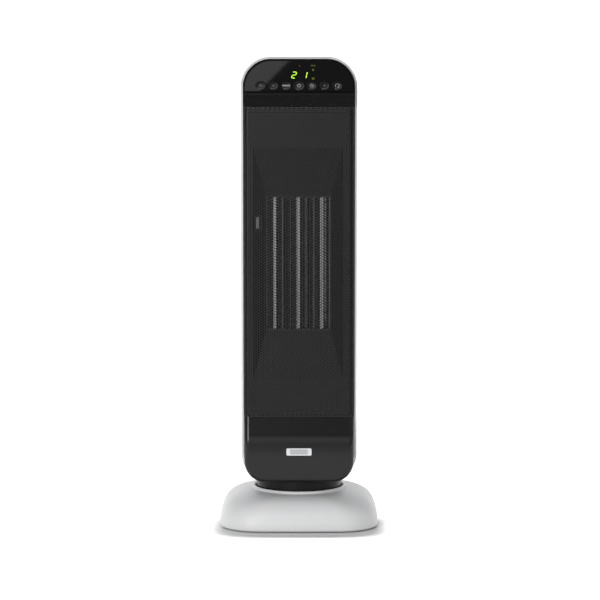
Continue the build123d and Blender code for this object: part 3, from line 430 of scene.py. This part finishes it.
symbols = []
for u in (16.4, 19.4):
    symbols += stroke(arc(0.8, 0, 360, 12, (u, 40.2)), 0.45)
symbols += stroke([(17.9, 32.2), (17.9, 35.2)], 0.7) + stroke([(16.9, 33.7), (18.9, 33.7)], 0.7)
symbols += stroke([(16.2, 18.8), (17.4, 20.2), (18.6, 18.8), (19.8, 20.2)], 0.5)
symbols += stroke([(16.4, 21.2), (19.8, 21.2)], 0.4)
symbols = [[(u * MM, v * MM) for u, v in outline] for outline in symbols]
verts, faces = slabs(symbols, on_lens, INK)
piece_from("display_symbols", verts, faces, LIT_SYMBOLS, "tower")
verts, faces = slabs([disc(0.8 * MM, (0.6 * MM, 39.6 * MM))], on_lens, INK)
piece_from("display_lamp", verts, faces, LIT_RED, "tower")


# ---- badge ----
badge_low, badge_high = (Vector(c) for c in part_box("badge"))
badge_mid = (badge_low + badge_high) / 2


def on_badge(u, v, h):
    """A point on the badge's face, from its middle."""
    return Vector((badge_mid.x + u, badge_low.y - h, badge_mid.z + v))


waves = []
for level in (-2.2, 0.0, 2.2):
    line = [(-11 + 0.5 * i, level + 0.6 * math.sin(i * math.pi / 5.5)) for i in range(45)]
    waves += stroke(line, 0.7)
waves = [[(u * MM, v * MM) for u, v in outline] for outline in waves]
verts, faces = slabs(waves, on_badge, 0.05 * MM)
piece_from("badge_waves", verts, faces, BADGE_ENAMEL, "tower")


# ---- stage, camera and lights ----
def glow_with_painted_shadow(paper, strength=0.95):
    """Let the floor glow like a lit studio sweep, with a painted contact shadow close round the base and
    painted shade far in front of it.
    """
    nodes, links = paper.node_tree.nodes, paper.node_tree.links
    shader = nodes["Principled BSDF"]

    def maths(operation, first, second):
        node = nodes.new("ShaderNodeMath")
        node.operation = operation
        for socket, value in zip(node.inputs, (first, second)):
            if isinstance(value, float):
                socket.default_value = value
            else:
                links.new(value, socket)
        return node.outputs[0]

    def ramp(value, low, high):
        node = nodes.new("ShaderNodeMapRange")
        node.interpolation_type = "SMOOTHSTEP"
        node.inputs["From Min"].default_value = low
        node.inputs["From Max"].default_value = high
        links.new(value, node.inputs["Value"])
        return node.outputs["Result"]

    # The glow fades out round the base's footprint as a painted contact shadow, and far in front of the base
    # as painted shade.
    place = nodes.new("ShaderNodeSeparateXYZ")
    links.new(nodes["Texture Coordinate"].outputs["Object"], place.inputs["Vector"])
    shade_x, shade_y, shade_ahead = 0.104, 0.072, 0.046
    shade_end, lit_from = 0.92, 1.22
    dark_front, lit_front = -0.60, -0.48
    across = maths("POWER", maths("ABSOLUTE", maths("DIVIDE", place.outputs["X"], shade_x), 0.0), 4.0)
    ahead = maths("DIVIDE", maths("ADD", place.outputs["Y"], shade_ahead), shade_y)
    along = maths("POWER", maths("ABSOLUTE", ahead, 0.0), 4.0)
    reach = maths("POWER", maths("ADD", across, along), 0.25)
    clear_of_painted_shadow = ramp(reach, shade_end, lit_from)
    clear_of_painted_far_shade = ramp(place.outputs["Y"], dark_front, lit_front)
    glow = maths("MULTIPLY", clear_of_painted_shadow, clear_of_painted_far_shade)
    links.new(maths("MULTIPLY", glow, strength), shader.inputs["Emission Strength"])
    shader.inputs["Emission Color"].default_value = (1, 1, 1, 1)


def sweep_floor():
    """A pale floor that curves up into a backdrop behind the heater."""
    width, front, back, rise, bend, steps = 5.0, -4.5, 2.6, 3.2, 1.0, 16
    line = [(front, 0.0), (back - bend, 0.0)]
    for k in range(1, steps + 1):
        angle = math.pi / 2 * k / steps
        line.append((back - bend + bend * math.sin(angle), bend - bend * math.cos(angle)))
    line.append((back, rise))
    verts = [(side * width, y, z) for side in (-1, 1) for y, z in line]
    count = len(line)
    faces = [[i, count + i, count + i + 1, i + 1] for i in range(count - 1)]
    mesh = bpy.data.meshes.new("floor")
    mesh.from_pydata(verts, [], faces)
    mesh.shade_smooth()
    floor = bpy.data.objects.new("floor", mesh)
    bpy.context.collection.objects.link(floor)
    paper = surface("floor_paper", (0.93, 0.93, 0.93), 0.9, tint=(0.92, 0.92, 0.925), grain=60.0, bump=0.01)
    glow_with_painted_shadow(paper)
    mesh.materials.append(paper)


sweep_floor()


def softbox(name, place, target, size, power, spin=0.0):
    """A soft rectangular lamp that faces a target, turned about its own axis by spin degrees."""
    lamp = bpy.data.lights.new(name, "AREA")
    lamp.shape = "RECTANGLE"
    lamp.size, lamp.size_y = size
    lamp.energy = power
    rig = bpy.data.objects.new(name, lamp)
    facing = (Vector(target) - Vector(place)).to_track_quat("-Z", "Y").to_matrix().to_4x4()
    rig.matrix_world = Matrix.Translation(place) @ facing @ Matrix.Rotation(math.radians(spin), 4, "Z")
    bpy.context.collection.objects.link(rig)


softbox("key", (-1.3, -3.0, 0.9), (0, 0, 0.2), (1.3, 1.2), 55.0)
softbox("front", (0.0, -4.2, 0.62), (0, 0, 0.55), (3.4, 1.1), 12.0)
softbox("fill", (2.2, -2.2, 0.9), (0, 0, 0.3), (1.2, 1.5), 7.0)
softbox("top", (-0.454, -0.077, 2.0), (-0.454, -0.077, 0.0), (1.2, 1.2), 3.9, spin=46.7)

world = bpy.data.worlds.new("studio")
bpy.context.scene.world = world
world.use_nodes = True
world.node_tree.nodes["Background"].inputs["Color"].default_value = (0.95, 0.97, 1.0, 1)
world.node_tree.nodes["Background"].inputs["Strength"].default_value = 0.14

CAMERA_PLACE, CAMERA_TARGET = (0.0013, -3.1, 0.60), (0.0013, 0.0, 0.288)
camera_data = bpy.data.cameras.new("camera")
camera_data.lens = 144.5
camera_data.sensor_width = 36.0
camera = bpy.data.objects.new("camera", camera_data)
camera.location = CAMERA_PLACE
aim = Vector(CAMERA_TARGET) - camera.location
camera.rotation_euler = aim.to_track_quat("-Z", "Y").to_euler()
bpy.context.collection.objects.link(camera)
bpy.context.scene.camera = camera
bpy.context.scene.view_settings.view_transform = "Standard"
